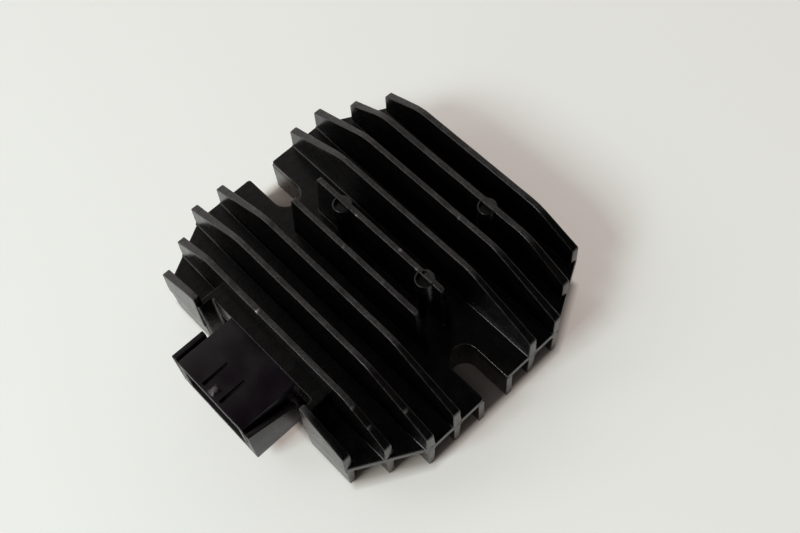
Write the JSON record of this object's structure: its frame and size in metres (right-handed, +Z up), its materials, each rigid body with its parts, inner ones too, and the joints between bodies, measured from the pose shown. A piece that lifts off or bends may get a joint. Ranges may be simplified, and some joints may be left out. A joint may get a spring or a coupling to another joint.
{
  "type": "voltage regulator rectifier",
  "caption": "Finned die cast voltage regulator and rectifier with open bolt slots and a moulded connector socket at one side.",
  "frame": {"origin": "middle of the mounting plane under the feet, below the middle of the whole box", "axes": "+X along the fins, +Y across the fins away from the connector, +Z up out of the mounting plane toward the fin tops"},
  "size_m": [0.0884, 0.091, 0.0274],
  "materials": {
    "coated_casting": "black coated aluminium die casting, satin, rough along the fin tops",
    "housing_plastic": "black moulded plastic with a soft sheen",
    "tinned_brass": "tin plated",
    "board_aluminium": "plain",
    "package_epoxy": "moulded epoxy",
    "capacitor_can": "plain drawn can",
    "resistor_ceramic": "ceramic",
    "black_resin": "cast resin"
  },
  "bodies": {
    "root": {"heat_sink": "coated_casting", "connector_housing": "housing_plastic", "terminal_phase_1": "tinned_brass", "terminal_phase_2": "tinned_brass", "terminal_phase_3": "tinned_brass", "terminal_positive": "tinned_brass", "terminal_negative": "tinned_brass", "metal_substrate": "board_aluminium", "thyristor_1": "package_epoxy", "thyristor_2": "package_epoxy", "thyristor_3": "package_epoxy", "diode_1": "package_epoxy", "diode_2": "package_epoxy", "diode_3": "package_epoxy", "control_chip": "package_epoxy", "capacitor_1": "capacitor_can", "capacitor_2": "capacitor_can", "gate_resistor_1": "resistor_ceramic", "gate_resistor_2": "resistor_ceramic", "gate_resistor_3": "resistor_ceramic", "potting_compound": "black_resin"}
  },
  "joints": []
}
